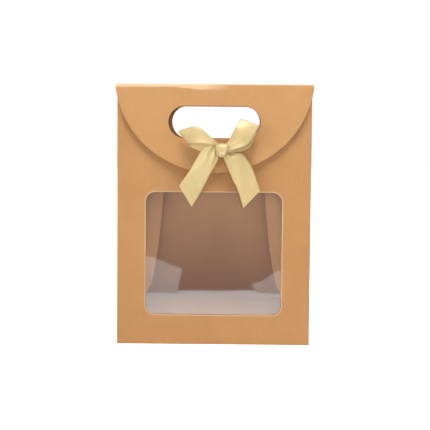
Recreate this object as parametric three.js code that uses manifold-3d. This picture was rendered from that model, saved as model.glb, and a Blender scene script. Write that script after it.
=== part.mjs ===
// Windowed gift box: a kraft card bag-box with folded side gussets, a clear film window in the front panel,
// a half-round lid flap with a hand hole, and a satin ribbon bow on the flap.
// Millimetres, +Z up, front towards -Y, origin at the middle of the bottom.
import * as THREE from "three";
import Module from "manifold-3d";
import { mergeVertices } from "three/addons/utils/BufferGeometryUtils.js";

const wasm = await Module();
wasm.setup();

// Card body
const width = 120;
const depth = 60;
const panelHeight = 158;
const frontLean = 35.55;
const backLean = 17.28;
const card = 0.45;
const creaseRound = 0.8;
const gussetCrest = 1.2;
const gussetTopDrop = 3;
const bottomEdge = 0.25;

// Window in the front panel: its distance from the side edges and up from the bottom
const windowSide = 17.7;
const windowHeight = 76.4;
const windowUp = 18.4;
const windowRound = 6;

// Hand holes: their middles below the top of the panels, and the clearance of the inner ones
const holeWidth = 56;
const holeHeight = 19.6;
const holeDrop = 20.6;
const backHoleDrop = 22.6;
const backHoleShift = 0.85;
const holeClearance = 0.8;

// Film behind the window
const film = 0.15;
const filmMargin = 6;
const filmRound = 3;
const glueGap = 0.3;

// Glued bottom and glue seam
const tabFromSide = 33;
const tabInset = 0.6;
const tabLong = 39.6;
const tabShort = 21.2;
const sideFlapReach = 24;
const sideFlapInset = 1;
const seamSlot = 0.4;
const seamJog = 6;
const seamEnd = 2;
const seamTab = 12;
const seamTabSlope = 6;
const seamTabInset = 3;

// Lid: top strip and half-round flap in one piece
const lidOverhang = 0.8;
const lidGap = 0.35;
const lidRise = 2.75;
const lidCrease = 2.2;
const flapDrop = 51.7;
const flapFlare = 0.7;
const flapStandOff = 2.4;

// Bow, with its knot to the right of the middle and above the tip of the flap
const ribbonWidth = 12;
const ribbon = 0.4;
const knotRight = 4.5;
const knotAboveTip = 12.9;
const dotRadius = 3;
const dotThick = 0.8;

const halfWidth = width / 2;
const halfDepth = depth / 2;
const flapTip = panelHeight - flapDrop;
const holeCentre = panelHeight - holeDrop;
const backHoleCentre = panelHeight - backHoleDrop;
const windowWidth = width - 2 * windowSide;
const windowCentre = windowUp + windowHeight / 2;
const frontUp = new THREE.Vector3(0, frontLean, Math.sqrt(panelHeight ** 2 - frontLean ** 2)).normalize();
const backUp = new THREE.Vector3(0, -backLean, Math.sqrt(panelHeight ** 2 - backLean ** 2)).normalize();
const right = new THREE.Vector3(1, 0, 0);

// A frame on a panel: x across, y up the panel, z out of its face
function panelFrame(up, y) {
  const out = new THREE.Vector3().crossVectors(right, up);
  return new THREE.Matrix4().makeBasis(right, up, out).setPosition(0, y, 0);
}
const frontFrame = panelFrame(frontUp, -halfDepth);
const backFrame = panelFrame(backUp, halfDepth);

function toSolid(geometry) {
  geometry.deleteAttribute("normal");
  geometry.deleteAttribute("uv");
  const merged = mergeVertices(geometry, 1e-4);
  const mesh = new wasm.Mesh({
    numProp: 3,
    vertProperties: new Float32Array(merged.attributes.position.array),
    triVerts: new Uint32Array(merged.index.array),
  });
  return new wasm.Manifold(mesh);
}

function toGeometry(solid) {
  const mesh = solid.getMesh();
  const geometry = new THREE.BufferGeometry();
  geometry.setAttribute("position", new THREE.BufferAttribute(new Float32Array(mesh.vertProperties), 3));
  geometry.setIndex(new THREE.BufferAttribute(new Uint32Array(mesh.triVerts), 1));
  const flat = geometry.toNonIndexed();
  flat.computeVertexNormals();
  return flat;
}

// A prism on a panel: an outline in x and height, between two offsets from the panel
function prism(shape, from, to, frame, curveSegments = 10) {
  const geometry = new THREE.ExtrudeGeometry(shape, { depth: to - from, bevelEnabled: false, curveSegments });
  geometry.translate(0, 0, from);
  geometry.applyMatrix4(frame);
  return toSolid(geometry);
}

function roundedRectangle(w, h, r, cy) {
  const shape = new THREE.Shape();
  const x = w / 2 - r;
  const y = h / 2 - r;
  shape.absarc(x, cy - y, r, -Math.PI / 2, 0, false);
  shape.absarc(x, cy + y, r, 0, Math.PI / 2, false);
  shape.absarc(-x, cy + y, r, Math.PI / 2, Math.PI, false);
  shape.absarc(-x, cy - y, r, Math.PI, 1.5 * Math.PI, false);
  return shape;
}

function polygon(points) {
  return new THREE.Shape(points.map(([x, y]) => new THREE.Vector2(x, y)));
}

// Normal of the sheet at a grid point, lengthened at folds so that both walls keep their thickness
function sheetNormal(grid, i, j, ring) {
  const rows = grid.length;
  const cols = grid[0].length;
  const faces = [];
  for (const a of [i - 1, i]) {
    for (const b of [j - 1, j]) {
      const inside = a >= 0 && a < rows - 1 && (ring || (b >= 0 && b < cols - 1));
      if (!inside) continue;
      const c = (b + cols) % cols;
      const d = (c + 1) % cols;
      const along = grid[a][d].clone().sub(grid[a][c]);
      const up = grid[a + 1][c].clone().sub(grid[a][c]);
      faces.push(along.cross(up).normalize());
    }
  }
  const sum = faces.reduce((total, n) => total.add(n), new THREE.Vector3()).normalize();
  const lean = faces.reduce((total, n) => total + n.dot(sum), 0) / faces.length;
  return sum.divideScalar(Math.max(lean, 0.5));
}

// A sheet of even thickness over a grid of points; ring joins the last column to the first
function thickSheet(grid, thickness, ring = false) {
  const rows = grid.length;
  const cols = grid[0].length;
  const positions = [];
  for (const side of [0.5, -0.5]) {
    for (let i = 0; i < rows; i++) {
      for (let j = 0; j < cols; j++) {
        const n = sheetNormal(grid, i, j, ring);
        positions.push(...grid[i][j].clone().addScaledVector(n, side * thickness).toArray());
      }
    }
  }
  const outer = (i, j) => i * cols + (j % cols);
  const inner = (i, j) => rows * cols + outer(i, j);
  const index = [];
  const quad = (a, b, c, d) => index.push(a, b, c, a, c, d);
  const spans = ring ? cols : cols - 1;
  for (let i = 0; i < rows - 1; i++) {
    for (let j = 0; j < spans; j++) {
      quad(outer(i, j), outer(i, j + 1), outer(i + 1, j + 1), outer(i + 1, j));
      quad(inner(i, j), inner(i + 1, j), inner(i + 1, j + 1), inner(i, j + 1));
    }
  }
  for (let j = 0; j < spans; j++) {
    const top = rows - 1;
    quad(inner(0, j), inner(0, j + 1), outer(0, j + 1), outer(0, j));
    quad(outer(top, j), outer(top, j + 1), inner(top, j + 1), inner(top, j));
  }
  for (let i = 0; i < rows - 1 && !ring; i++) {
    const last = cols - 1;
    quad(outer(i, 0), outer(i + 1, 0), inner(i + 1, 0), inner(i, 0));
    quad(inner(i, last), inner(i + 1, last), outer(i + 1, last), outer(i, last));
  }
  const geometry = new THREE.BufferGeometry();
  geometry.setAttribute("position", new THREE.Float32BufferAttribute(positions, 3));
  geometry.setIndex(index);
  return toSolid(geometry);
}

const frontEdge = (v) => new THREE.Vector3(halfWidth, -halfDepth, 0).addScaledVector(frontUp, v);
const backEdge = (v) => new THREE.Vector3(halfWidth, halfDepth, 0).addScaledVector(backUp, v);
const sideMiddle = new THREE.Vector3(halfWidth, 0, 0);

// How far the gusset's centre crease hangs below the panel edges where it leaves the bottom triangle
function apexDrop() {
  const half = frontEdge(halfDepth).distanceTo(backEdge(halfDepth)) / 2;
  const middle = frontEdge(halfDepth).add(backEdge(halfDepth)).multiplyScalar(0.5);
  return (middle.distanceToSquared(sideMiddle) - half ** 2) / (2 * middle.z);
}

// The gusset's centre crease: both halves of the gusset keep their width as they fold inwards
function gussetCrease(v) {
  const share = (v - halfDepth) / (panelHeight - halfDepth);
  const drop = THREE.MathUtils.lerp(apexDrop(), gussetTopDrop, share);
  const half = frontEdge(v).distanceTo(backEdge(v)) / 2;
  const inward = Math.sqrt(halfDepth ** 2 - half ** 2 - drop ** 2);
  const middle = frontEdge(v).add(backEdge(v)).multiplyScalar(0.5);
  return middle.add(new THREE.Vector3(-inward, 0, -drop));
}

// The diagonals start clear of the panels' rounded edges
const diagonalStart = 3 * creaseRound;

// The two fold points of the right gusset at a height: on the bottom triangle's diagonals, then at the crease
function gussetFolds(v) {
  const back = new THREE.Vector3(0, 1, 0);
  if (v >= halfDepth) {
    const crease = gussetCrease(v);
    const half = gussetCrest / 2;
    return [crease.clone().addScaledVector(back, -half), crease.clone().addScaledVector(back, half)];
  }
  const climb = gussetCrease(halfDepth).sub(sideMiddle).divideScalar(halfDepth);
  const reach = THREE.MathUtils.clamp(v, diagonalStart, halfDepth - gussetCrest / 2);
  const foot = sideMiddle.clone().addScaledVector(climb, v);
  const out = halfDepth - reach;
  return [foot.clone().addScaledVector(back, -out), foot.clone().addScaledVector(back, out)];
}

// A panel's rounded edge: an arc from the panel round to the wall that leads to a fold point. Where the wall
// folds back flat, the arc keeps it clear of the panel
function roundedEdge(edge, inward, foldPoint) {
  const left = right.clone().negate();
  const toFold = foldPoint.clone().sub(edge);
  const across = toFold.dot(left) - creaseRound;
  const deep = toFold.dot(inward) - creaseRound;
  const last = Math.atan2(deep, across) + Math.acos(creaseRound / Math.hypot(across, deep));
  const points = [];
  for (let k = 0; k <= 4; k++) {
    const angle = THREE.MathUtils.lerp(1.5 * Math.PI, last, k / 4);
    const alongLeft = creaseRound * (1 + Math.cos(angle));
    const alongInward = creaseRound * (1 + Math.sin(angle));
    points.push(edge.clone().addScaledVector(left, alongLeft).addScaledVector(inward, alongInward));
  }
  return points;
}

// One turn of the card around the box at a height, anticlockwise from the front left edge
function wrapRow(v) {
  const [foldFront, foldBack] = gussetFolds(v);
  const half = [
    ...roundedEdge(frontEdge(v), frontUp.clone().cross(right), foldFront),
    foldFront,
    foldBack,
    ...roundedEdge(backEdge(v), right.clone().cross(backUp), foldBack).reverse(),
  ];
  const mirrored = half.map((p) => new THREE.Vector3(-p.x, p.y, p.z)).reverse();
  return [...half, ...mirrored];
}

// Heights of the turns, closer together where the gusset's creases meet
function wrapHeights() {
  const below = [0.17, 0.33, 0.53, 0.77].map((share) => share * halfDepth);
  const above = [0.03, 0.08, 0.15, 0.24, 0.36, 0.5, 0.66, 0.83].map((share) =>
    THREE.MathUtils.lerp(halfDepth, panelHeight, share),
  );
  const foot = [bottomEdge, diagonalStart];
  return [...foot, ...below, halfDepth - gussetCrest / 2, halfDepth, ...above, panelHeight];
}

function handHole(frame, centre, clearance, from, to) {
  const h = holeHeight + clearance;
  return prism(roundedRectangle(holeWidth + 2 * clearance, h, h / 2 - 0.01, centre), from, to, frame, 16);
}

// Front and back bottom flaps with their stepped seam, and the side flaps and locking tabs glued on them
function glueBottom() {
  const floorFrame = new THREE.Matrix4();
  const half = halfDepth + card / 2;
  const reach = halfWidth + card / 2;
  const plate = prism(polygon([[-reach, -half], [reach, -half], [reach, half], [-reach, half]]), 0, card, floorFrame);
  const seamReach = halfWidth - seamEnd;
  const seam = [[-seamReach, seamJog], [-seamJog, seamJog], [seamJog, -seamJog], [seamReach, -seamJog]];
  const upper = seam.map(([x, y]) => [x, y + seamSlot]).reverse();
  const slot = prism(polygon([...seam, ...upper]), -1, card, floorFrame);
  let layer = plate.subtract(slot);
  const lift = card - 0.02;
  for (const side of [-1, 1]) {
    const wall = side * (halfWidth - card / 2);
    const end = side * (halfWidth - sideFlapReach);
    const wide = halfDepth - sideFlapInset;
    const narrow = wide - sideFlapReach + card / 2;
    const sideFlap = [[wall, -wide], [wall, wide], [end, narrow], [end, -narrow]];
    layer = layer.add(prism(polygon(sideFlap), lift, 2 * card, floorFrame));
    const diagonal = Math.SQRT1_2;
    const apex = new THREE.Vector2(tabFromSide - halfWidth, halfDepth - tabInset).multiplyScalar(-side);
    const down = new THREE.Vector2(diagonal, -diagonal).multiplyScalar(-side);
    const across = new THREE.Vector2(-diagonal, -diagonal).multiplyScalar(-side);
    const far = apex.clone().addScaledVector(down, tabLong);
    const farAcross = far.clone().addScaledVector(across, tabShort);
    const nearAcross = apex.clone().addScaledVector(across, tabShort);
    const tab = [apex, far, farAcross, nearAcross].map((p) => [p.x, p.y]);
    layer = layer.add(prism(polygon(tab), lift, 2 * card, floorFrame));
  }
  return layer;
}

// The seam tab of the wrapped card, glued inside the back panel
function seamStrip() {
  const near = -halfWidth + creaseRound + card;
  const far = near + seamTab;
  const low = seamTabInset;
  const high = panelHeight - seamTabInset;
  const outline = [[near, low], [far, low + seamTabSlope], [far, high - seamTabSlope], [near, high]];
  return prism(polygon(outline), card / 2 - 0.02, 1.5 * card, backFrame);
}

function cartonSolid() {
  const wrap = thickSheet(wrapHeights().map(wrapRow), card, true);
  const windowCut = prism(roundedRectangle(windowWidth, windowHeight, windowRound, windowCentre), -3, 3, frontFrame);
  const frontHole = handHole(frontFrame, holeCentre, holeClearance, -3, 3);
  const backHole = handHole(backFrame, backHoleCentre, holeClearance, -3, 3).translate([backHoleShift, 0, 0]);
  return wrap.add(glueBottom()).add(seamStrip()).subtract(windowCut).subtract(frontHole).subtract(backHole);
}

function filmSolid() {
  const w = windowWidth + 2 * filmMargin;
  const h = windowHeight + 2 * filmMargin;
  const face = -(card / 2 + glueGap);
  return prism(roundedRectangle(w, h, filmRound, windowCentre), face - film, face, frontFrame);
}

// How far the lid flap's middle plane stands off the front panel at a height
const lidFirst = card + lidGap;
const lidFold = panelHeight + lidRise;
const lidHalf = halfWidth + lidOverhang;
function flapOffset(height) {
  const share = (lidFold - height) / (lidFold - flapTip);
  return lidFirst + flapStandOff * Math.sin((Math.PI / 2) * Math.min(share, 1));
}

// The lid's side view: from the hinge at the back, over the top and down the front
function lidPath() {
  const hinge = backEdge(panelHeight + card / 2 + lidGap).setX(0);
  const start = hinge.applyMatrix4(frontFrame.clone().invert());
  const fold = new THREE.Vector3(0, lidFold, lidFirst);
  const back = start.clone().sub(fold).normalize().multiplyScalar(lidCrease).add(fold);
  const front = new THREE.Vector3(0, lidFold - lidCrease, flapOffset(lidFold - lidCrease));
  const bend = new THREE.QuadraticBezierCurve3(back, fold, front);
  const path = [start, ...bend.getPoints(4)];
  const steps = 8;
  for (let k = 1; k <= steps; k++) {
    const height = THREE.MathUtils.lerp(front.y, flapTip - 1, k / steps);
    path.push(new THREE.Vector3(0, height, flapOffset(height)));
  }
  return path;
}

function lidOutline() {
  const flapRound = lidHalf + flapFlare;
  const start = Math.asin(lidHalf / flapRound);
  const top = panelHeight + depth;
  const shape = new THREE.Shape();
  shape.moveTo(lidHalf, top);
  shape.lineTo(-lidHalf, top);
  shape.absarc(0, flapTip + flapRound, flapRound, -Math.PI / 2 - start, -Math.PI / 2 + start, false);
  shape.lineTo(lidHalf, top);
  return shape;
}

function lidSolid() {
  const half = lidHalf + 1;
  const grid = lidPath().map((p) => [-half, half].map((x) => new THREE.Vector3(x, p.y, p.z).applyMatrix4(frontFrame)));
  const sheet = thickSheet(grid.reverse(), card);
  const outline = prism(lidOutline(), -depth, depth, frontFrame, 56);
  const hole = handHole(frontFrame, holeCentre, 0, -1, lidFirst + 2 * flapStandOff);
  return sheet.intersect(outline).subtract(hole);
}

// The bow is drawn for a 12 mm ribbon, in millimetres from the middle of its knot
const bowScale = ribbonWidth / 12;
const knotHalf = new THREE.Vector3(3.4, 3.9, 3.2).multiplyScalar(bowScale);
const knotUp = flapTip + knotAboveTip;
const dotBack = flapOffset(knotUp) + card / 2 + glueGap;
const dotFront = dotBack + dotThick;
const knot = new THREE.Vector3(knotRight, knotUp, dotFront + glueGap + knotHalf.z);

// The two edges of each ribbon piece: out from the knot in front, round the end and back behind
const leftLoop = [
  [[-2.9, 2.8, 0.8], [-9, 3.7, 1.8], [-14.5, 3.7, 1.8], [-18.9, 3.8, 0.8],
    [-19.7, 3.5, -0.8], [-18, 2.2, -2.1], [-11.6, -0.6, -2.2], [-3, -1.4, -1.2]],
  [[-2.1, 3.8, 0.8], [-7.8, 8.5, 2.6], [-15.3, 14.2, 3], [-24.9, 13.5, 1.2],
    [-26.9, 12.4, -0.6], [-25, 11.8, -1.8], [-14.5, 7.8, -2.1], [-2.3, 1.8, -1.2]],
];
const rightLoop = [
  [[2.3, 3, 0.8], [4.8, 6.8, 2.4], [8.1, 13.2, 2.9], [11.7, 18.7, 0.8],
    [12.4, 19.4, -0.6], [11.9, 18.4, -1.8], [7.5, 10.3, -2.1], [2.1, 1.8, -1.2]],
  [[2.5, -0.6, 0.8], [8.5, 0.7, 2.4], [16, 4, 3], [22.1, 14, 1],
    [23.3, 15.6, -0.6], [22.7, 14.4, -1.8], [16.1, 1.7, -2.2], [2.5, -1.6, -1.2]],
];

// Tails: down from the knot to a slanted cut
const leftTail = [
  [[-4, 1.6, -1.8], [-8.1, 2.4, -0.4], [-11.5, 0.4, 0.2], [-14.9, -4.8, -0.8],
    [-19.4, -11.4, -1.8], [-23.3, -16.9, -2.1], [-26.1, -20.9, -2]],
  [[-1.1, 0.8, -1.8], [-1.5, 1.8, 0], [-1.7, -1, 0.6], [-2.6, -6, -0.6],
    [-7.8, -14.7, -1.8], [-13.4, -25.3, -2.2], [-18.6, -33.8, -1.8]],
];
const rightTail = [
  [[0.7, -1.2, -1.6], [1.4, -5, -1.4], [3.8, -10.7, -1.6], [6.9, -17.7, -2],
    [9.1, -21.6, -2.1], [11.3, -28.2, -2], [13, -34.3, -1.5]],
  [[2.9, -0.6, -1.6], [8, -1.2, 0.2], [11.9, -1.6, 0.6], [14.4, -3.8, 0],
    [18.4, -10.1, -1.2], [21.5, -17.9, -1.8], [23.3, -23.6, -1.8]],
];

// A ribbon piece between its two edges, crowned a little across its width
function ribbonPiece(edges, rows, crown) {
  const columns = 6;
  const [first, second] = edges.map((edge) => {
    const points = edge.map((p) => new THREE.Vector3(...p).multiplyScalar(bowScale).add(knot));
    return new THREE.CatmullRomCurve3(points, false, "catmullrom", 0.5);
  });
  const grid = [];
  for (let i = 0; i <= rows; i++) {
    const t = i / rows;
    const row = [];
    for (let j = 0; j <= columns; j++) {
      const point = first.getPoint(t).lerp(second.getPoint(t), j / columns);
      point.z += crown(t) * bowScale * Math.sin((Math.PI * j) / columns);
      row.push(point.applyMatrix4(frontFrame));
    }
    grid.push(row);
  }
  return thickSheet(grid, ribbon);
}

// Crown of a loop: outwards in front, less and the other way behind, none at the end fold
function loopCrown(t) {
  const swell = Math.sin(Math.PI * Math.min(t, 1 - t) * 1.6);
  return (t < 0.5 ? 0.9 : -0.36) * swell;
}

function tailCrown(t) {
  return 0.5 * Math.sin(Math.PI * Math.min(1, 0.25 + t));
}

// The knot: a turn of ribbon gathered round the middle, filled by the ribbon inside it
function knotBlock() {
  const columns = 12;
  const turns = 28;
  const outline = [];
  for (let j = 0; j <= columns; j++) {
    const across = (2 * j) / columns - 1;
    const gather = 1 + 0.035 * Math.cos((5 * Math.PI * j) / columns);
    const edge = 0.55 + 0.45 * Math.sqrt(1 - Math.abs(across) ** 3);
    outline.push(new THREE.Vector2(edge * gather, across * knotHalf.x));
  }
  const closed = [new THREE.Vector2(0, -knotHalf.x), ...outline, new THREE.Vector2(0, knotHalf.x)];
  const geometry = new THREE.LatheGeometry(closed, turns);
  geometry.rotateZ(-Math.PI / 2);
  geometry.scale(1, knotHalf.y, knotHalf.z);
  geometry.translate(knot.x, knot.y, knot.z);
  geometry.applyMatrix4(frontFrame);
  return toSolid(geometry);
}

function bowSolid() {
  const pieces = [
    ribbonPiece(leftLoop, 42, loopCrown),
    ribbonPiece(rightLoop, 42, loopCrown),
    ribbonPiece(leftTail, 24, tailCrown),
    ribbonPiece(rightTail, 24, tailCrown),
  ];
  return pieces.reduce((bow, piece) => bow.add(piece), knotBlock());
}

function dotSolid() {
  const shape = new THREE.Shape();
  shape.absarc(knot.x, knot.y, dotRadius, 0, 2 * Math.PI, false);
  return prism(shape, dotBack, dotFront, frontFrame, 32);
}

const kraft = new THREE.MeshStandardMaterial({ color: 0xd09c69, roughness: 0.85, metalness: 0 });
const clearFilm = new THREE.MeshStandardMaterial({
  color: 0xf4f4f2,
  roughness: 0.08,
  metalness: 0,
  transparent: true,
  opacity: 0.25,
});
const satin = new THREE.MeshStandardMaterial({ color: 0xe6cf97, roughness: 0.35, metalness: 0.1 });
const glue = new THREE.MeshStandardMaterial({ color: 0xe9e4d6, roughness: 0.6, metalness: 0 });

function piece(name, solid, material) {
  const mesh = new THREE.Mesh(toGeometry(solid), material);
  mesh.name = name;
  return mesh;
}

const giftBox = new THREE.Group();
giftBox.add(piece("carton", cartonSolid(), kraft));
giftBox.add(piece("window_film", filmSolid(), clearFilm));
giftBox.add(piece("lid_flap", lidSolid(), kraft));
giftBox.add(piece("bow_glue_dot", dotSolid(), glue));
giftBox.add(piece("ribbon_bow", bowSolid(), satin));

export default giftBox;
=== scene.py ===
"""Looks of a kraft card gift box with a film window and a satin ribbon bow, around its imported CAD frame."""

import math

import bpy
from mathutils import Matrix, Vector


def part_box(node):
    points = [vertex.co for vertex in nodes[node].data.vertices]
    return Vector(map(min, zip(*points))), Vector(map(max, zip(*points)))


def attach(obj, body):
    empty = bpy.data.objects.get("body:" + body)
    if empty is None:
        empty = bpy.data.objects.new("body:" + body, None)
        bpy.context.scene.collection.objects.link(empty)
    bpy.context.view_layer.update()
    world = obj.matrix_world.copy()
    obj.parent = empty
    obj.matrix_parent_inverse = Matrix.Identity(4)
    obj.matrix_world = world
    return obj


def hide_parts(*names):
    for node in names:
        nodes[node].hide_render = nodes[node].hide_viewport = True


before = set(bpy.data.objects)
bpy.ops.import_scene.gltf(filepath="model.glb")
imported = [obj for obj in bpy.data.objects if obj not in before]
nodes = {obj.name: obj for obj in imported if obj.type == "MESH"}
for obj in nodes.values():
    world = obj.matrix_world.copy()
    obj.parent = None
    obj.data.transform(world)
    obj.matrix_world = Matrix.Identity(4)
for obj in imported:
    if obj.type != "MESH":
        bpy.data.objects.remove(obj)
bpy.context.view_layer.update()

# Front panel plane, in millimetres: it leans back from the front bottom edge
HALF_DEPTH = 30.0
PANEL = 158.0
LEAN = 35.55
LEAN_SIN = LEAN / PANEL
LEAN_COS = math.sqrt(1 - LEAN_SIN**2)
MM = 0.001

# Camera, from the perspective of the photograph
CAMERA_AT = (1.57, -207.4, 127.9)
CAMERA_PITCH, CAMERA_YAW, CAMERA_ROLL = 14.13, -0.242, 0.423
CAMERA_FOCAL_PX = 325.0
FRAME_PX = 430.0
SENSOR = 36.0

# Plain studio light; a radiance of 1 shows as white
WORLD_LIGHT = 0.1
WORLD_MIRROR = 0.85
FLOOR_GLOW = 0.85
FLOOR_MIRROR = 0.1
STUDIO_WHITE = (0.8, 0.8, 0.8, 1)

# Area lamps: name, place, aim, size and power, and whether mirrors see them
ABOVE_BASE = (0, 0, 0.06)
LAMPS = (
    ("key", (0.03, -0.16, 0.85), (0, 0, 0.1), 0.35, 3.9, True),
    ("right", (1.0, -0.55, 0.35), ABOVE_BASE, 0.4, 3.1, False),
    ("left", (-1.0, -0.55, 0.3), ABOVE_BASE, 0.4, 4.3, False),
    ("front", (0, -1.1, 0.3), ABOVE_BASE, 0.5, 1.9, False),
    ("back", (0.4, 0.8, 0.8), ABOVE_BASE, 0.5, 9.0, True),
)

# White things on the camera's side, seen only in mirrors and gloss: how bright, and their corners in metres
CARD_Y = -0.4
CARD_MIRROR = 1.9
TABLE_MIRROR = 3.9
FLOOR_FRONT = -1.6
CARDS = (
    (CARD_MIRROR, [(-0.135, CARD_Y, 0.02), (-0.066, CARD_Y, 0.02), (-0.06, CARD_Y, 0.062),
                   (-0.108, CARD_Y, 0.08), (-0.135, CARD_Y, 0.086)]),
    (CARD_MIRROR, [(0.063, CARD_Y, 0.036), (0.075, CARD_Y, 0.02), (0.135, CARD_Y, 0.02),
                   (0.135, CARD_Y, 0.066), (0.107, CARD_Y, 0.057), (0.085, CARD_Y, 0.04)]),
    (TABLE_MIRROR, [(-0.085, -0.15, 0.0), (0.085, -0.15, 0.0),
                    (0.42, FLOOR_FRONT, 0.0), (-0.42, FLOOR_FRONT, 0.0)]),
)

# Ribbon bow, in millimetres: the knot's half sizes are across, up the panel and out from it
RIBBON_WIDTH = 12.0
RIBBON_THICK = 0.25
RIBBON_ROWS = 72
RIBBON_COLUMNS = 18
KNOT_HALF = Vector((3.4, 3.9, 3.2))
KNOT_OFF_DOT = 0.3
DOT_THICK = 0.8

# Pleats at the knot: how far they reach, their height and the half waves across the ribbon
PLEAT_REACH = 8.5
PLEAT_HEIGHT = 0.55
PLEAT_HALF_WAVES = 5


def srgb(r, g, b, a=1.0):
    """A colour written in 0-255 sRGB, as linear light."""
    linear = [
        c / 255 / 12.92 if c / 255 <= 0.04045 else ((c / 255 + 0.055) / 1.055) ** 2.4
        for c in (r, g, b)
    ]
    return (*linear, a)


def on_panel(x, up, off):
    """A point over the front panel: across, up the panel and out from it, in millimetres."""
    y = -HALF_DEPTH + up * LEAN_SIN - off * LEAN_COS
    z = up * LEAN_COS + off * LEAN_SIN
    return Vector((x, y, z)) * MM


def panel_place(point):
    """The same three numbers for a point in metres."""
    x, y, z = point / MM
    y += HALF_DEPTH
    return Vector((x, y * LEAN_SIN + z * LEAN_COS, z * LEAN_SIN - y * LEAN_COS))


class Nodes:
    """Short calls for building the node tree of a material or a world."""

    def __init__(self, owner, output="ShaderNodeOutputMaterial"):
        owner.use_nodes = True
        self.owner = owner
        self.tree = owner.node_tree
        self.tree.nodes.clear()
        self.out = self.add(output)

    def add(self, kind, inputs=None, **settings):
        node = self.tree.nodes.new(kind)
        for key, value in settings.items():
            setattr(node, key, value)
        for key, value in (inputs or {}).items():
            self.set(node.inputs[key], value)
        return node

    def set(self, socket, value):
        if isinstance(value, bpy.types.NodeSocket):
            self.tree.links.new(value, socket)
        else:
            socket.default_value = value

    def noise(self, where, scale, detail=2.0, rough=0.5):
        values = {"Vector": where, "Scale": scale, "Detail": detail, "Roughness": rough}
        return self.add("ShaderNodeTexNoise", values).outputs["Fac"]

    def ramp(self, value, low, high, to_low=0.0, to_high=1.0):
        values = {
            "Value": value,
            "From Min": low,
            "From Max": high,
            "To Min": to_low,
            "To Max": to_high,
        }
        return self.add("ShaderNodeMapRange", values).outputs["Result"]

    def math(self, operation, a, b=0.0):
        return self.add("ShaderNodeMath", {0: a, 1: b}, operation=operation).outputs[0]

    def vector(self, operation, a, b=(0, 0, 0)):
        node = self.add("ShaderNodeVectorMath", {0: a, 1: b}, operation=operation)
        return node.outputs["Value" if operation in ("DOT_PRODUCT", "LENGTH") else "Vector"]

    def mix(self, factor, a, b, blend="MIX"):
        node = self.add("ShaderNodeMix", data_type="RGBA", blend_type=blend)
        self.set(node.inputs[0], factor)
        self.set(node.inputs[6], a)
        self.set(node.inputs[7], b)
        return node.outputs[2]

    def stretched(self, where, turn, scale):
        values = {"Vector": where, "Rotation": turn, "Scale": scale}
        return self.add("ShaderNodeMapping", values).outputs["Vector"]

    def by_ray(self, base, levels):
        """The base value, or more for the kinds of ray that are given a level."""
        path = self.add("ShaderNodeLightPath").outputs
        value = base
        for ray, level in levels:
            value = self.math("MAXIMUM", self.math("MULTIPLY", path[ray], level), value)
        return value

    def finish(self, shader):
        self.tree.links.new(shader, self.out.inputs["Surface"])
        return self.owner


def cut_edge(n, where, half_size, corner, middle, width):
    """1 on the cut edge of a rounded opening in the front panel and close round it, fading out."""
    across = n.vector("DOT_PRODUCT", where, (1, 0, 0))
    front = n.vector("ADD", where, (0, HALF_DEPTH * MM, 0))
    up = n.vector("DOT_PRODUCT", front, (0, LEAN_SIN, LEAN_COS))
    out = n.math("ABSOLUTE", n.vector("DOT_PRODUCT", front, (0, -LEAN_COS, LEAN_SIN)))
    sides = []
    for value, half in ((across, half_size[0]), (n.math("SUBTRACT", up, middle * MM), half_size[1])):
        past = n.math("SUBTRACT", n.math("ABSOLUTE", value), (half - corner) * MM)
        sides.append(n.math("MAXIMUM", past, 0.0))
    far = n.add("ShaderNodeCombineXYZ", {"X": sides[0], "Y": sides[1]}).outputs[0]
    gap = n.math("SUBTRACT", n.vector("LENGTH", far), corner * MM)
    near = n.ramp(n.math("ABSOLUTE", gap), 0.0, width * MM, 1.0, 0.0)
    return n.math("MULTIPLY", near, n.math("LESS_THAN", out, 5 * MM))


def crease_wear_and_painted_highlight(n, where, lowest):
    """How much the lid's crease is painted pale: partly rubbed wear, partly a painted highlight where the
    rounded fold catches the top light; left of its middle, above a ragged line.
    """
    across = n.vector("DOT_PRODUCT", where, (1, 0, 0))
    height = n.vector("DOT_PRODUCT", where, (0, 0, 1))
    ragged = n.math("MULTIPLY", n.noise(where, 90.0, 3.0, 0.6), 1.2 * MM)
    dip = n.ramp(across, -24 * MM, -11 * MM, 0.0, 1.3 * MM)
    reach = n.math("ADD", n.math("ADD", height, ragged), dip)
    mark_and_painted_light = n.ramp(reach, lowest, lowest + 1.0 * MM)
    left = n.ramp(across, -8 * MM, 10 * MM, 0.75, 0.0)
    return n.math("MULTIPLY", mark_and_painted_light, left)


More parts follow.
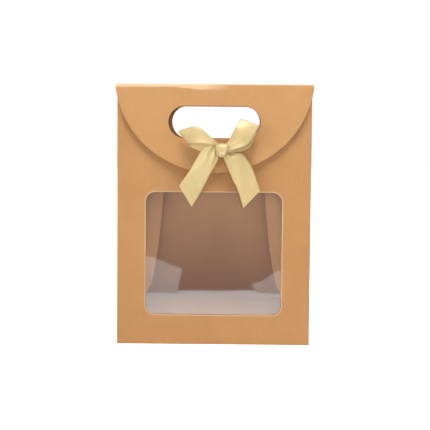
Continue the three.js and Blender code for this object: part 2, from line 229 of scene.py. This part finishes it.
def kraft_material(name, colour, dark, pale, edges, crease_height=None):
    """Uncoated kraft card: soft clouding, short fibres both ways, a fine tooth, rims at cut edges in the
    given colour (pale cut fibre at the window, painted shade at the hand hole) and a pale crease band that is
    partly wear, partly painted highlight.
    """
    n = Nodes(bpy.data.materials.new(name))
    where = n.add("ShaderNodeTexCoord").outputs["Object"]
    cloud = n.noise(where, 45.0, 4.0, 0.6)
    fibre_turn = n.stretched(where, (0.3, 0.5, 0.6), (900.0, 900.0, 160.0))
    fibre_back = n.stretched(where, (-0.4, 0.3, -0.7), (220.0, 900.0, 900.0))
    fibre_one = n.noise(fibre_turn, 1.0, 2.0, 0.6)
    fibre_two = n.noise(fibre_back, 1.0, 2.0, 0.6)
    grain = n.noise(where, 3200.0, 2.0, 0.6)
    base = n.mix(n.ramp(cloud, 0.3, 0.7, 0.0, 0.55), dark, colour)
    base = n.mix(n.ramp(fibre_one, 0.62, 0.78, 0.0, 0.35), base, pale)
    base = n.mix(n.ramp(fibre_two, 0.62, 0.78, 0.0, 0.35), base, dark)
    base = n.mix(n.ramp(grain, 0.35, 0.75, 0.0, 0.22), base, pale)
    for half_size, corner, middle, width, rim in edges:
        mark_and_painted_light = cut_edge(n, where, half_size, corner, middle, width)
        # For the hand hole this rim is painted shade; for the window it is the card's pale cut fibre
        base = n.mix(n.math("MULTIPLY", mark_and_painted_light, 0.8), base, rim)
    if crease_height:
        # Painted highlight along the lid's crease, partly also rubbed wear: a pale band, strongest left of
        # the middle
        base = n.mix(crease_wear_and_painted_highlight(n, where, crease_height), base, srgb(250, 216, 170))
    tooth = n.math("ADD", n.math("MULTIPLY", fibre_one, 0.5), grain)
    bump = n.add("ShaderNodeBump", {"Strength": 0.12, "Distance": 0.0001, "Height": tooth})
    shader = n.add(
        "ShaderNodeBsdfPrincipled",
        {
            "Base Color": base,
            "Roughness": n.ramp(grain, 0.3, 0.7, 0.72, 0.9),
            "Specular IOR Level": 0.3,
            "Normal": bump.outputs[0],
        },
    )
    return n.finish(shader.outputs[0])


def film_material():
    """Thin clear film: it lets light straight through and mirrors a little, more at a slant.

    Only the outer faces mirror, as light isn't bent here and the inner ones would mirror it all.
    """
    n = Nodes(bpy.data.materials.new("clear_film"))
    where = n.add("ShaderNodeTexCoord").outputs["Object"]
    waves = n.noise(n.stretched(where, (0, 0.5, 0), (20.0, 20.0, 8.0)), 1.0, 2.0, 0.5)
    bump = n.add("ShaderNodeBump", {"Strength": 0.12, "Distance": 0.002, "Height": waves})
    clear = n.add("ShaderNodeBsdfTransparent", {"Color": (1, 1, 1, 1)})
    gloss = n.add(
        "ShaderNodeBsdfGlossy",
        {"Color": (1, 1, 1, 1), "Roughness": 0.04, "Normal": bump.outputs[0]},
    )
    fresnel = n.add("ShaderNodeFresnel", {"IOR": 1.75, "Normal": bump.outputs[0]})
    outer = n.math("SUBTRACT", 1.0, n.add("ShaderNodeNewGeometry").outputs["Backfacing"])
    share = n.math("MULTIPLY", fresnel.outputs[0], outer)
    mixed = n.add("ShaderNodeMixShader", {0: share, 1: clear.outputs[0], 2: gloss.outputs[0]})
    return n.finish(mixed.outputs[0])


def satin_material():
    """Champagne satin: fine weft lines across the ribbon, woven edges and a gloss drawn out across it."""
    n = Nodes(bpy.data.materials.new("satin_ribbon"))
    uv = n.add("ShaderNodeUVMap", uv_map="ribbon").outputs[0]
    weft = n.add(
        "ShaderNodeTexWave",
        {"Vector": uv, "Scale": 900.0, "Distortion": 1.2, "Detail": 2.0, "Detail Scale": 0.3},
        wave_type="BANDS",
        bands_direction="X",
    ).outputs["Fac"]
    cloud = n.noise(n.stretched(uv, (0, 0, 0), (90.0, 160.0, 1.0)), 1.0, 2.0, 0.5)
    across = n.math("MULTIPLY", n.vector("DOT_PRODUCT", uv, (0, 1, 0)), 1 / (RIBBON_WIDTH * MM))
    edge = n.math("ABSOLUTE", n.math("SUBTRACT", across, 0.5))
    base = n.mix(cloud, srgb(214, 186, 126), srgb(232, 210, 154))
    base = n.mix(n.math("MULTIPLY", weft, 0.16), base, srgb(176, 142, 82))
    base = n.mix(n.ramp(edge, 0.455, 0.475, 0.0, 0.35), base, srgb(180, 146, 84))
    bump = n.add("ShaderNodeBump", {"Strength": 0.12, "Distance": 0.0001, "Height": weft})
    tangent = n.add("ShaderNodeTangent", direction_type="UV_MAP", uv_map="ribbon").outputs[0]
    shader = n.add(
        "ShaderNodeBsdfPrincipled",
        {
            "Base Color": base,
            "Roughness": 0.36,
            "IOR": 1.8,
            "Specular IOR Level": 0.9,
            "Specular Tint": srgb(255, 240, 200),
            "Anisotropic": 0.7,
            "Anisotropic Rotation": 0.25,
            "Tangent": tangent,
            "Sheen Weight": 0.2,
            "Sheen Roughness": 0.4,
            "Normal": bump.outputs[0],
        },
    )
    return n.finish(shader.outputs[0])


def glue_material():
    n = Nodes(bpy.data.materials.new("glue"))
    where = n.add("ShaderNodeTexCoord").outputs["Object"]
    lumps = n.noise(where, 900.0, 2.0)
    base = n.mix(lumps, srgb(226, 220, 205), srgb(240, 236, 224))
    bump = n.add("ShaderNodeBump", {"Strength": 0.3, "Distance": 0.0002, "Height": lumps})
    values = {"Base Color": base, "Roughness": 0.55, "Normal": bump.outputs[0]}
    return n.finish(n.add("ShaderNodeBsdfPrincipled", values).outputs[0])


def smooth_track(points, t):
    """A point on the Catmull-Rom curve through the points, t from 0 to 1."""
    spans = len(points) - 1
    k = min(int(t * spans), spans - 1)
    u = t * spans - k
    a = points[max(k - 1, 0)]
    b = points[k]
    c = points[k + 1]
    d = points[min(k + 2, spans)]
    return 0.5 * (
        2 * b
        + (c - a) * u
        + (2 * a - 5 * b + 4 * c - d) * u * u
        + (3 * b - a - 3 * c + d) * u**3
    )


# Each ribbon piece: the course of its two edges from the knot's middle, as (across, up the panel, out from
# it) in millimetres
LEFT_LOOP = (
    [(-2.9, 2.8, 0.8), (-9, 3.7, 1.8), (-14.5, 3.7, 1.8), (-18.9, 3.8, 0.8),
     (-19.7, 3.5, -0.8), (-18, 2.2, -2.1), (-11.6, -0.6, -2.2), (-3, -1.4, -1.2)],
    [(-2.1, 3.8, 0.8), (-7.4, 8.2, 2.6), (-14.5, 13.1, 3), (-23.7, 11.9, 1.2),
     (-25.7, 10.8, -0.6), (-23.8, 10.2, -1.8), (-14, 7.2, -2.1), (-2.3, 1.8, -1.2)],
)
RIGHT_LOOP = (
    [(2.3, 3, 0.8), (4.8, 6.8, 2.4), (7.7, 12.8, 2.9), (10.7, 17.8, 0.8),
     (11.4, 18.5, -0.6), (10.9, 17.5, -1.8), (7.5, 10.3, -2.1), (2.1, 1.8, -1.2)],
    [(2.5, -0.6, 0.8), (8.5, 0.7, 2.4), (15.7, 3.8, 3), (21.2, 13.4, 1),
     (22.4, 15, -0.6), (21.8, 13.8, -1.8), (15.8, 1.7, -2.2), (2.5, -1.6, -1.2)],
)
LEFT_TAIL = (
    [(-4, 1.6, -1.8), (-8.1, 2.4, -0.4), (-11.5, 0.4, 0.2), (-14.9, -4.8, -0.8),
     (-18.9, -11.4, -1.8), (-22.7, -16.9, -2.1), (-25.5, -20.9, -2)],
    [(-1.1, 0.8, -1.8), (-1.5, 1.8, 0), (-1.7, -1, 0.6), (-2.6, -6, -0.6),
     (-7.4, -14.7, -1.8), (-12.8, -25.3, -2.2), (-17.9, -33.8, -1.8)],
)
RIGHT_TAIL = (
    [(0.7, -1.2, -1.6), (1.4, -5, -1.4), (3.8, -10.7, -1.6), (6.9, -17.7, -2),
     (9.1, -21.6, -2.1), (11.3, -28.2, -2), (13, -34.3, -1.5)],
    [(2.9, -0.6, -1.6), (8, -1.2, 0.2), (11.9, -1.6, 0.6), (14.4, -3.8, 0),
     (18.4, -10.1, -1.2), (21.5, -17.9, -1.8), (23.3, -23.6, -1.8)],
)

dot_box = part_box("bow_glue_dot")
dot = panel_place((dot_box[0] + dot_box[1]) / 2)
KNOT = dot + Vector((0, 0, DOT_THICK / 2 + KNOT_OFF_DOT + KNOT_HALF.z))


def ribbon_grid(edges, crown):
    """Rows of points of a ribbon piece between its two edges, crowned across and pleated at the knot."""
    first, second = ([KNOT + Vector(p) for p in edge] for edge in edges)
    rows = []
    for i in range(RIBBON_ROWS + 1):
        t = i / RIBBON_ROWS
        a = smooth_track(first, t)
        b = smooth_track(second, t)
        row = []
        for j in range(RIBBON_COLUMNS + 1):
            v = j / RIBBON_COLUMNS
            point = a.lerp(b, v)
            near = math.exp(-(((point - KNOT).xy.length / PLEAT_REACH) ** 2))
            wave = math.cos(PLEAT_HALF_WAVES * math.pi * v + 0.6) * math.sin(math.pi * v) ** 0.5
            point.z += crown(t, v) + PLEAT_HEIGHT * near * wave
            row.append(point)
        rows.append(row)
    return rows


def knot_grid():
    """The turn of ribbon round the bow's middle, gathered across its width."""
    rows = []
    for i in range(RIBBON_ROWS + 1):
        turn = 2 * math.pi * i / RIBBON_ROWS
        row = []
        for j in range(RIBBON_COLUMNS + 1):
            v = j / RIBBON_COLUMNS
            across = 2 * v - 1
            edge = math.sqrt(max(0.0, 1 - abs(across) ** 3)) * 0.45 + 0.55
            fold = 1 + 0.035 * math.cos(PLEAT_HALF_WAVES * math.pi * v + 0.7 * math.sin(turn))
            up = KNOT_HALF.y * edge * fold * math.cos(turn)
            out = KNOT_HALF.z * edge * fold * math.copysign(abs(math.sin(turn)) ** 0.8, math.sin(turn))
            side = KNOT_HALF.x * across * (1 + 0.16 * math.cos(turn)) + 0.12 * up
            row.append(KNOT + Vector((side, up, out)))
        rows.append(row)
    return rows


def grid_mesh(name, grids):
    """One mesh from several grids of panel points, with a ribbon UV in metres."""
    verts, faces, uvs = [], [], []
    for rows in grids:
        start = len(verts)
        cols = len(rows[0])
        along = 0.0
        marks = []
        for i, row in enumerate(rows):
            if i:
                middle = cols // 2
                along += (row[middle] - rows[i - 1][middle]).length * MM
            marks.append(along)
            verts.extend(on_panel(*p) for p in row)
        for i in range(len(rows) - 1):
            for j in range(cols - 1):
                a = start + i * cols + j
                faces.append((a, a + 1, a + cols + 1, a + cols))
                across = [c * RIBBON_WIDTH * MM / (cols - 1) for c in (j, j + 1)]
                uvs.extend(
                    [
                        (marks[i], across[0]),
                        (marks[i], across[1]),
                        (marks[i + 1], across[1]),
                        (marks[i + 1], across[0]),
                    ]
                )
    mesh = bpy.data.meshes.new(name)
    mesh.from_pydata(verts, [], faces)
    layer = mesh.uv_layers.new(name="ribbon")
    for loop, uv in zip(layer.data, uvs):
        loop.uv = uv
    mesh.polygons.foreach_set("use_smooth", [True] * len(mesh.polygons))
    obj = bpy.data.objects.new(name, mesh)
    bpy.context.scene.collection.objects.link(obj)
    return obj


def make_bow():
    """The ribbon bow that stands for the CAD one; t runs along a piece and v across it, both 0 to 1."""

    def loop_crown(t, v):
        layer = 1.0 if t < 0.5 else -0.4
        return layer * 0.9 * math.sin(math.pi * v) * math.sin(math.pi * min(t, 1 - t) * 1.6)

    def tail_crown(t, v, height, slant, level):
        tilt = slant * (level - v) * min(1, 2.5 * t)
        return height * math.sin(math.pi * v) * math.sin(math.pi * min(1, 0.25 + t)) + tilt

    def left_tail_crown(t, v):
        return tail_crown(t, v, 0.5, 3.4, 0.45)

    def right_tail_crown(t, v):
        pocket = 1.6 * math.exp(-(((t - 0.1) / 0.1) ** 2) - ((v - 0.68) / 0.16) ** 2)
        return tail_crown(t, v, 0.9, 2.0, 0.4) - pocket

    grids = [
        ribbon_grid(LEFT_LOOP, loop_crown),
        ribbon_grid(RIGHT_LOOP, loop_crown),
        ribbon_grid(LEFT_TAIL, left_tail_crown),
        ribbon_grid(RIGHT_TAIL, right_tail_crown),
        knot_grid(),
    ]
    bow = grid_mesh("satin_bow", grids)
    solid = bow.modifiers.new("thickness", "SOLIDIFY")
    solid.thickness = RIBBON_THICK * MM
    solid.offset = 0.0
    bow.data.materials.append(satin_material())
    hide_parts("ribbon_bow")
    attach(bow, "lid")
    return bow


def even_facets(obj):
    """Smooth shading over the facets of softly bent card, with its creases and edges kept sharp."""
    weld = obj.modifiers.new("weld", "WELD")
    weld.merge_threshold = 0.001 * MM
    split = obj.modifiers.new("split", "EDGE_SPLIT")
    split.split_angle = math.radians(20)
    split.use_edge_sharp = False
    even = obj.modifiers.new("even", "WEIGHTED_NORMAL")
    even.weight = 100


def paint(node, material):
    mesh = nodes[node].data
    mesh.materials.clear()
    mesh.materials.append(material)


def studio_material(name, colour, camera_glow, mirror_glow):
    """A matt surface that also glows by a set amount to the camera and to mirrors."""
    n = Nodes(bpy.data.materials.new(name))
    levels = (
        ("Is Camera Ray", camera_glow),
        ("Is Transmission Ray", camera_glow),
        ("Is Glossy Ray", mirror_glow),
    )
    diffuse = n.add("ShaderNodeBsdfDiffuse", {"Color": colour})
    glow = n.add("ShaderNodeEmission", {"Color": (1, 1, 1, 1), "Strength": n.by_ray(0.0, levels)})
    both = n.add("ShaderNodeAddShader", {0: diffuse.outputs[0], 1: glow.outputs[0]})
    return n.finish(both.outputs[0])


def make_floor():
    mesh = bpy.data.meshes.new("floor")
    corners = [(-3, FLOOR_FRONT, 0), (3, FLOOR_FRONT, 0), (3, 1, 0), (-3, 1, 0)]
    mesh.from_pydata(corners, [], [(0, 1, 2, 3)])
    floor = bpy.data.objects.new("floor", mesh)
    floor.location.z = -0.0002
    bpy.context.scene.collection.objects.link(floor)
    mesh.materials.append(studio_material("floor", STUDIO_WHITE, FLOOR_GLOW, FLOOR_MIRROR))


def make_cards():
    """The white things for the film to mirror; the camera and diffuse light don't see them."""
    for glow, corners in CARDS:
        mesh = bpy.data.meshes.new("card")
        mesh.from_pydata(corners, [], [range(len(corners))])
        card = bpy.data.objects.new("card", mesh)
        card.visible_camera = False
        card.visible_diffuse = False
        card.visible_shadow = False
        bpy.context.scene.collection.objects.link(card)
        mesh.materials.append(studio_material("card", STUDIO_WHITE, 0.0, glow))


def make_world():
    """White to the camera, a little darker in mirrors, and an even dim studio to the rest."""
    world = bpy.data.worlds.new("studio")
    bpy.context.scene.world = world
    n = Nodes(world, "ShaderNodeOutputWorld")
    levels = (("Is Camera Ray", 1.0), ("Is Transmission Ray", 1.0), ("Is Glossy Ray", WORLD_MIRROR))
    values = {"Color": (1, 1, 1, 1), "Strength": n.by_ray(WORLD_LIGHT, levels)}
    n.finish(n.add("ShaderNodeBackground", values).outputs[0])


def area_light(name, at, target, size, power, in_mirrors):
    data = bpy.data.lights.new(name, "AREA")
    data.size = size
    data.energy = power
    lamp = bpy.data.objects.new(name, data)
    lamp.location = at
    lamp.rotation_euler = (Vector(target) - Vector(at)).to_track_quat("-Z", "Y").to_euler()
    lamp.visible_glossy = in_mirrors
    bpy.context.scene.collection.objects.link(lamp)


def make_camera():
    pitch, yaw, roll = (math.radians(a) for a in (CAMERA_PITCH, CAMERA_YAW, CAMERA_ROLL))
    ahead = Vector((math.sin(yaw) * math.cos(pitch), math.cos(yaw) * math.cos(pitch), -math.sin(pitch)))
    right = Vector((math.cos(yaw), -math.sin(yaw), 0))
    up = right.cross(ahead)
    turned_right = right * math.cos(roll) + up * math.sin(roll)
    turned_up = up * math.cos(roll) - right * math.sin(roll)
    data = bpy.data.cameras.new("camera")
    data.sensor_width = SENSOR
    data.lens = SENSOR * CAMERA_FOCAL_PX / FRAME_PX
    data.clip_start = 0.01
    camera = bpy.data.objects.new("camera", data)
    axes = Matrix((turned_right, turned_up, -ahead)).transposed().to_4x4()
    camera.matrix_world = Matrix.Translation(Vector(CAMERA_AT) * MM) @ axes
    bpy.context.scene.collection.objects.link(camera)
    bpy.context.scene.camera = camera


make_camera()
make_world()
make_floor()
make_cards()
for lamp in LAMPS:
    area_light(*lamp)

# Die-cut rims in the front: half size, corner radius, height of the middle, width and colour of the rim; the
# window's rim is the card's pale cut fibre, the hole's dark rim is painted shade
WINDOW_EDGE = ((42.3, 38.2), 6.0, 56.6, 0.8, srgb(240, 212, 176))
# Painted shade: the hole's dark brown rim stands in for the shadow at its cut edge and the gap behind it
HOLE_EDGE = ((28.0, 9.8), 9.8, 137.4, 0.4, srgb(120, 82, 54))

# The lid's crease is painted pale down to this far below its top: partly rubbed wear, partly a painted
# highlight of the rounded fold
WEAR_AND_PAINTED_HIGHLIGHT_DEPTH = 2.6 * MM
lid_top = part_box("lid_flap")[1].z
kraft = kraft_material(
    "kraft_card", srgb(212, 158, 106), srgb(199, 144, 92), srgb(224, 176, 126), [WINDOW_EDGE]
)
# Painted light: the lid's card is a lighter copy of the panel's same kraft, for how the light falls on the
# flap; it also carries the painted crease highlight and the hole's painted shade
lid_kraft_with_painted_light = kraft_material(
    "kraft_lid",
    srgb(217, 164, 110),
    srgb(205, 151, 97),
    srgb(230, 183, 134),
    [HOLE_EDGE],
    lid_top - WEAR_AND_PAINTED_HIGHLIGHT_DEPTH,
)
even_facets(nodes["carton"])
paint("carton", kraft)
paint("lid_flap", lid_kraft_with_painted_light)
paint("window_film", film_material())
paint("bow_glue_dot", glue_material())
make_bow()

bpy.context.scene.view_settings.view_transform = "Standard"
